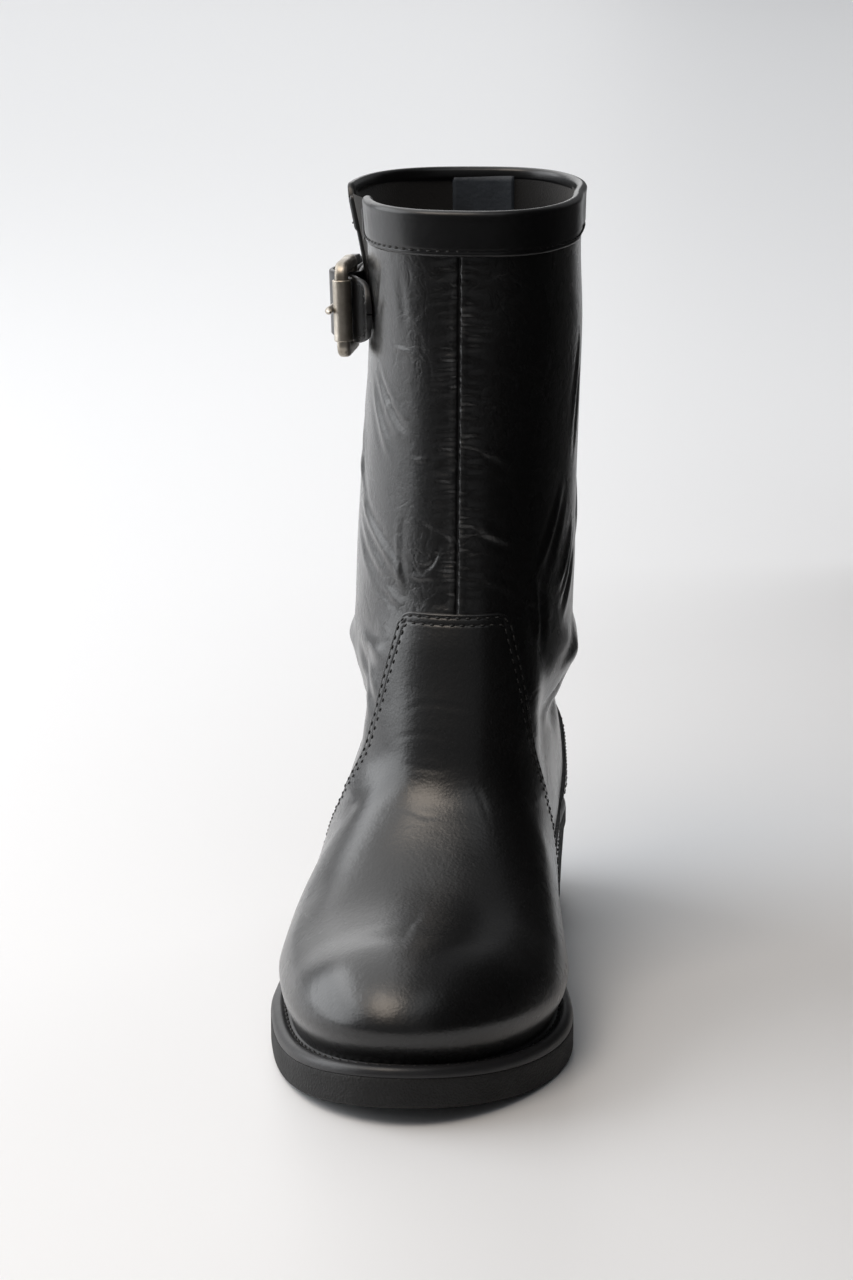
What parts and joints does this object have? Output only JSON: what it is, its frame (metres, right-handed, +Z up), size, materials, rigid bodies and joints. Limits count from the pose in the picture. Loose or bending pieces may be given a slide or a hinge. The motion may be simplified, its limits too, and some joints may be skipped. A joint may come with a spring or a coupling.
{
  "type": "engineer boot",
  "caption": "Right engineer boot in black leather: plain round-toed vamp, heel counter, slack straight shaft with a gusset and a buckled strap at the collar, welted rubber sole and block heel.",
  "frame": {"origin": "on the floor under the middle of the heel, in the plane that the heel and the forefoot stand on", "axes": "+Z up; -Y towards the toe; -X is the outer (lateral) side and +X the inner (medial) side of this right boot"},
  "size_m": [0.1081, 0.28, 0.2874],
  "materials": {
    "upper_leather": "black polished smooth leather",
    "strap_leather": "black polished leather, cut edges inked black",
    "gusset_suede": "matte black suede",
    "patch_leather": "blue-grey lining leather",
    "insole_leather": "dark matte leather board",
    "welt_leather": "black waxed welt edge",
    "sole_rubber": "matte black fine-grained rubber",
    "antique_nickel": "antique nickel with a brownish patina"
  },
  "bodies": {
    "root": {"outsole": "sole_rubber", "welt": "welt_leather", "heel_block": "sole_rubber", "heel_lift": "sole_rubber", "insole": "insole_leather", "upper": "upper_leather", "gusset": "gusset_suede", "lining_patch": "patch_leather", "strap": "strap_leather", "buckle_chape": "strap_leather", "keeper": "strap_leather", "buckle_frame": "antique_nickel", "buckle_roller": "antique_nickel", "buckle_prong": "antique_nickel"}
  },
  "joints": []
}
